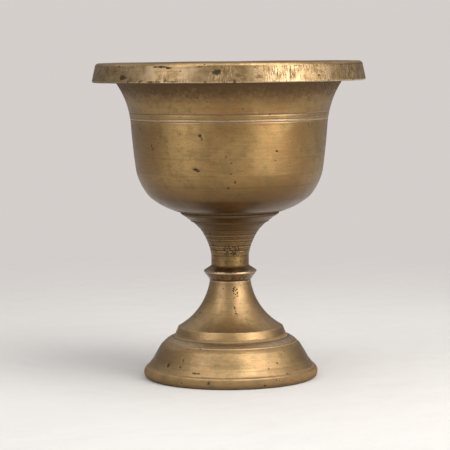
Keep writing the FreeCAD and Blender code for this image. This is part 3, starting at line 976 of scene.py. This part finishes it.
def screw_ridge(bm, bottom, turns, pitch, root, crest, wide, narrow, steps=48):
    """Adds a right-hand thread ridge, wide at its root and narrow at its crest; lengths in millimetres."""
    section = [(root, -wide / 2), (crest, -narrow / 2), (crest, narrow / 2), (root, wide / 2)]
    ridge = bmesh.new()
    verts = [ridge.verts.new((r * MM, 0, (bottom + z) * MM)) for r, z in section]
    first = ridge.faces.new(verts)
    count = round(steps * turns)
    bmesh.ops.spin(
        ridge,
        geom=[first],
        cent=(0, 0, 0),
        axis=(0, 0, 1),
        dvec=(0, 0, pitch * turns * MM / count),
        angle=2 * math.pi * turns,
        steps=count,
        use_duplicate=False,
    )
    bmesh.ops.recalc_face_normals(ridge, faces=ridge.faces)
    if any(len(edge.link_faces) != 2 for edge in ridge.edges):
        raise RuntimeError("the thread's ridge isn't closed")
    mesh = bpy.data.meshes.new("ridge")
    ridge.to_mesh(mesh)
    ridge.free()
    bm.from_mesh(mesh)
    bpy.data.meshes.remove(mesh)


class LAMP_OT_stem(bpy.types.Operator):
    """Turns the stem: trumpet with coarse tool marks, plain neck, sharp knop, socket and tenon"""
    bl_idname = "oil_lamp.stem"
    bl_label = "Stem"

    def execute(self, context):
        size, look = settings().stem, settings().finishes
        bm = turned(stem_outline(size), size.steps)
        uneven(bm, 0.05, 9.0, 4.0)
        measure_form(bm)
        band(bm, "hollow", 64.6, 66.0, 0.85)
        band(bm, "hollow", 61.2, 62.9, 0.4)
        # Darker up the trumpet towards the bowl: dark patina, and painted shade where the trumpet stands
        # under the bowl.
        band(bm, "hollow", 51.0, 65.0, 0.22, rise=4.0, fall=3.0)
        band(bm, "ridge", 38.7, 43.8, 0.32, rise=0.8, fall=0.8)
        mark(bm, STEM_MARKS)
        screw_ridge(bm, 52.95, 4.3, 2.5, root=5.25, crest=4.35, wide=1.93, narrow=1.03)
        # darkness darkens the whole stem: dark patina, and painted shade for a stem that stands under the
        # bowl.
        finish = old_brass(
            "stem brass", look, lines=(0.7, 0.4), scored=0.8, relief=0.15, pits=(1.4, 0.4, 0.24),
            underside_shade=0.65, darkness=0.5, rub=0.6, offset=0.7
        )
        piece("lamp_stem", bm, "base", finish, ["stem"])
        return {"FINISHED"}


def foot_outline(size):
    lip, step_r, step_z = size.radius / MM, size.step_radius / MM, size.step_height / MM
    return outline(
        (4.53, 27.5), 0.8, (4.53, 38.6), (7.9, 38.6), 0.2, ((8.12, 38.55), (8.15, 38.3)), 0.4,
        ((12.5, 27.5), (step_r - 0.15, step_z + 0.1)), 0.15, (step_r, step_z - 0.15), 0.3,
        (22.0, 17.4), ((22.2, 16.7), (22.9, 16.2)), ((24.9, 15.35), (26.2, 14.35)), 0.2,
        (26.24, 14.18), (26.46, 14.04), 0.45, ((27.2, 13.4), (27.8, 12.8)),
        ((29.6, 9.9), (31.0, 7.3)), (33.3, 4.3), 0.2, (33.7, 4.15), (34.1, 3.7),
        ((lip, 2.1), (34.3, 0.6)), (33.7, 0.0), 0.6, (30.6, 0.0), 1.0, ((28.4, 5.6), (26.4, 10.2)),
        ((24.2, 12.6), (20.4, 13.8)), ((17.4, 16.8), (14.2, 21.4)), ((12.1, 24.6), (9.4, 27.5)),
        (4.53, 27.5),
    )[:-1]


class LAMP_OT_foot(bpy.types.Operator):
    """Turns the hollow stepped foot"""
    bl_idname = "oil_lamp.foot"
    bl_label = "Foot"

    def execute(self, context):
        size, look = settings().foot, settings().finishes
        bm = turned(foot_outline(size), size.steps)
        uneven(bm, 0.08, 16.0, 6.0)
        uneven(bm, 0.02, 2.5, 7.0)
        measure_form(bm)
        # Painted light: the shoulder under the step is lightened as rubbed brass, standing in for light
        # that the lamps don't bring into this corner.
        band(bm, "ridge", 14.4, 17.2, 0.34, rise=0.5, fall=0.5)
        # Darkens the lowest 4 mm of the foot, down to where it stands.
        band(bm, "hollow", -0.1, 3.9, 0.9, fall=0.8)
        line_inside(bm, -MM, 31 * MM)
        mark(bm, FOOT_MARKS)
        mark(bm, FOOT_CRUSTS, "verdigris")
        for vert in bm.verts:
            vert.co.z = max(vert.co.z, FOOT_LOW.z)
        finish = old_brass(
            "foot brass", look, lines=(0.8, 0.4), scored=0.35, relief=0.06, pits=(2.4, 0.35, 0.2),
            underside_shade=0.7, worn=0.09, rub=0.6, caked_and_shade=0.4, coat=0.4, haze=0.08, offset=1.9
        )
        piece("lamp_foot", bm, "base", finish, ["foot"])
        return {"FINISHED"}


class LAMP_OT_fittings(bpy.types.Operator):
    """Finishes the stud, nut and washer, and turns the packing washer and the wick socket"""
    bl_idname = "oil_lamp.fittings"
    bl_label = "Fittings"

    def execute(self, context):
        look = settings().finishes
        brass = plain_brass("fitting brass", look)
        for node in ("bowl_stud", "foot_nut", "foot_washer"):
            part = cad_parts[node]
            part.data.materials.clear()
            part.data.materials.append(brass)
        low, high = (z / MM for z in (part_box("seat_washer")[0].z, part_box("seat_washer")[1].z))
        packing = outline(
            (5.5, low), 0.5, (12.6, low), 0.2, ((13.0, (low + high) / 2), (12.6, high)), 0.5, (5.5, high)
        )
        bm = turned(packing, 96)
        measure_form(bm)
        leather = oiled_leather("leather", look)
        piece("lamp_seat_washer", bm, "washer", leather, ["seat_washer"])
        socket = outline(
            (0.0, 73.0), 0.4, (2.6, 73.0), (2.6, 75.6), (5.2, 75.6), ((5.4, 75.9), (5.4, 76.2)),
            ((5.2, 76.6), (4.6, 76.9)), ((3.85, 77.5), (3.6, 78.6)), (3.6, 83.2),
            ((3.85, 83.6), (3.6, 84.1)), ((3.3, 84.5), (2.8, 84.6)), (2.2, 84.55), (2.0, 84.3),
            (2.0, 74.6), (0.0, 74.6),
        )
        bm = turned(socket, 96)
        uneven(bm, 0.02, 2.0, 9.0)
        measure_form(bm)
        piece("lamp_wick_holder", bm, "bowl", brass, ["wick_holder"])
        return {"FINISHED"}


class LAMP_OT_wick(bpy.types.Operator):
    """Twists the cotton wick round its splint"""
    bl_idname = "oil_lamp.wick"
    bl_label = "Wick"

    def execute(self, context):
        size, look = settings().wick, settings().finishes
        low, top = WICK_LOW.z, WICK_HIGH.z
        divisions, rise = 48, 0.35 * MM
        bm = bmesh.new()
        ring = bmesh.ops.create_circle(bm, cap_ends=True, segments=divisions, radius=1.0)["verts"]
        rings = [ring]
        count = round((top - low) / rise)
        base = bm.faces[:]
        for index in range(count):
            grown = bmesh.ops.extrude_face_region(bm, geom=base)
            if index:
                bmesh.ops.delete(bm, geom=base, context="FACES_ONLY")
            rings.append([v for v in grown["geom"] if isinstance(v, bmesh.types.BMVert)])
            base = [f for f in grown["geom"] if isinstance(f, bmesh.types.BMFace)]
        for index, verts in enumerate(rings):
            z = low + (top - low) * index / count
            taper = min(1.0, (top - z) / (13 * MM))
            pinch = 0.16 + 0.84 * math.sqrt(max(taper, 0.0))
            lean = Vector((0.7, -0.3, 0)) * MM * (1 - taper) ** 2
            for vert in verts:
                angle = math.atan2(vert.co.y, vert.co.x)
                turn = angle - 2 * math.pi * z / size.lay
                lobe = abs(math.cos(size.strands * turn / 2))
                fibre = 0.03 * noise.noise(Vector((math.cos(turn), math.sin(turn), z / MM * 0.2)) * 4)
                reach = size.radius * (0.73 + 0.24 * lobe + fibre) * pinch
                vert.co = Vector((reach * math.cos(angle), reach * math.sin(angle), z)) + lean
        bmesh.ops.recalc_face_normals(bm, faces=bm.faces)
        cotton = spun_cotton("cotton", look)
        piece("lamp_wick", bm, "wick", cotton, ["wick"])
        core_low, core_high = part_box("wick_core")
        bm = bmesh.new()
        middle = Matrix.Translation((0, 0, (core_low.z + core_high.z) / 2))
        bmesh.ops.create_cone(
            bm, cap_ends=True, segments=6, radius1=core_high.x * 0.97, radius2=core_high.x * 0.8,
            depth=core_high.z - core_low.z, matrix=middle
        )
        sides = [e for e in bm.edges if abs(e.verts[0].co.z - e.verts[1].co.z) > MM]
        bmesh.ops.bevel(
            bm, geom=sides, offset=0.12 * MM, affect="EDGES", segments=2, profile=0.5, material=-1
        )
        piece("lamp_wick_core", bm, "wick", split_cane("cane", look), ["wick_core"])
        return {"FINISHED"}


def soft_light(name, place, size, power, colour):
    """A rectangular light that faces the lamp and can't be seen itself."""
    light = bpy.data.lights.new(name, "AREA")
    light.shape = "RECTANGLE"
    light.size, light.size_y = size
    light.energy = power
    light.color = colour
    obj = bpy.data.objects.new(name, light)
    obj.location = place
    obj.visible_camera = False
    bpy.context.scene.collection.objects.link(obj)
    return obj


def upright(name, angle, distance, width, low, high, power, colour):
    """A panel that stands on the floor, so many degrees round from the front, to the right."""
    turn = math.radians(angle)
    away = Vector((math.sin(turn), -math.cos(turn), 0))
    place = away * distance + Vector((0, 0, (low + high) / 2))
    obj = soft_light(name, place, (width, high - low), power, colour)
    obj.rotation_euler = away.to_track_quat("Z", "Y").to_euler()


def overhead(name, angle, rise, distance, size, power, colour):
    """A square light on a boom, so many degrees round and up."""
    turn, up = math.radians(angle), math.radians(rise)
    away = Vector((math.sin(turn) * math.cos(up), -math.cos(turn) * math.cos(up), math.sin(up)))
    obj = soft_light(name, away * distance, (size, size), power, colour)
    obj.rotation_euler = away.to_track_quat("Z", "Y").to_euler()


class LAMP_OT_stage(bpy.types.Operator):
    """Lays the floor and places the camera and the lights"""
    bl_idname = "oil_lamp.stage"
    bl_label = "Stage"

    def execute(self, context):
        stage, look = settings().stage, settings().finishes
        bm = bmesh.new()
        bmesh.ops.create_circle(bm, cap_ends=True, segments=96, radius=14.0)
        mesh = bpy.data.meshes.new("floor")
        bm.to_mesh(mesh)
        bm.free()
        mesh.materials.append(floor_paint("floor", look, 0.05, 0.7))
        floor = bpy.data.objects.new("floor", mesh)
        context.scene.collection.objects.link(floor)

        lens = bpy.data.cameras.new("camera")
        lens.sensor_width = 36.0
        lens.lens = stage.lens
        camera = bpy.data.objects.new("camera", lens)
        camera.location = (-stage.aside, -stage.distance, stage.height)
        turn = Matrix.Rotation(math.pi / 2 - stage.pitch, 3, "X") @ Matrix.Rotation(stage.roll, 3, "Z")
        camera.rotation_euler = turn.to_euler()
        context.scene.collection.objects.link(camera)
        context.scene.camera = camera

        warm, cool = (1.0, 0.97, 0.93), (0.97, 0.98, 1.0)
        upright("key", 50, 0.46, 0.30, 0.035, 0.50, stage.key, warm)
        upright("side", 80, 0.60, 0.25, 0.15, 0.60, 0.25 * stage.key, warm)
        upright("fill", -50, 0.50, 0.30, 0.035, 0.60, stage.fill, cool)
        upright("front", 0, 0.90, 0.90, 0.005, 0.20, stage.front, warm)
        upright("back right", 128, 0.60, 0.25, 0.35, 0.75, stage.back, cool)
        upright("back left", -128, 0.60, 0.25, 0.35, 0.75, stage.back, cool)
        overhead("top right", 48, 64, 1.0, 0.6, stage.top, warm)
        overhead("top left", -52, 60, 1.0, 0.5, 0.3 * stage.top, cool)
        overhead("top", 180, 84, 1.0, 0.8, 0.4 * stage.top, cool)

        world = bpy.data.worlds.new("studio")
        world.use_nodes = True
        context.scene.world = world
        s = Sockets(world.node_tree)
        background = world.node_tree.nodes["Background"]
        seen = s.add("ShaderNodeLightPath", "Is Camera Ray")
        parts = s.tree.nodes.new("ShaderNodeSeparateXYZ")
        s.feed(parts, {"Vector": s.add("ShaderNodeTexCoord", "Generated")})
        dome = s.blend(s.between(parts.outputs["Z"], 0.0, 0.9), look.horizon, look.ambient)
        s.feed(background, {"Color": s.blend(seen, dome, look.backdrop), "Strength": 1.0})
        context.scene.view_settings.view_transform = "Standard"
        return {"FINISHED"}


class LAMP_PT_panel(bpy.types.Panel):
    """Lists the operators and the settings of the lamp"""
    bl_idname = "LAMP_PT_panel"
    bl_label = "Stemmed oil lamp"
    bl_space_type = "VIEW_3D"
    bl_region_type = "UI"
    bl_category = "Oil lamp"

    def draw(self, context):
        for operator in OPERATORS:
            self.layout.operator(operator.bl_idname)
        for group in ("bowl", "stem", "foot", "wick", "finishes", "stage"):
            box = self.layout.box()
            values = getattr(settings(), group)
            for name in values.__annotations__:
                box.prop(values, name)


OPERATORS = (LAMP_OT_stage, LAMP_OT_bowl, LAMP_OT_stem, LAMP_OT_foot, LAMP_OT_fittings, LAMP_OT_wick)
CLASSES = (
    BowlSizes, StemSizes, FootSizes, WickSizes, Finishes, StageSettings, LampSettings, *OPERATORS,
    LAMP_PT_panel
)


def register():
    for cls in CLASSES:
        bpy.utils.register_class(cls)
    bpy.types.Scene.oil_lamp = PointerProperty(
        type=LampSettings, name="Oil lamp", description="Settings of the lamp"
    )


def unregister():
    del bpy.types.Scene.oil_lamp
    for cls in reversed(CLASSES):
        bpy.utils.unregister_class(cls)


def main():
    register()
    for name in ("stage", "bowl", "stem", "foot", "fittings", "wick"):
        getattr(bpy.ops.oil_lamp, name)()


if __name__ == "__main__":
    main()
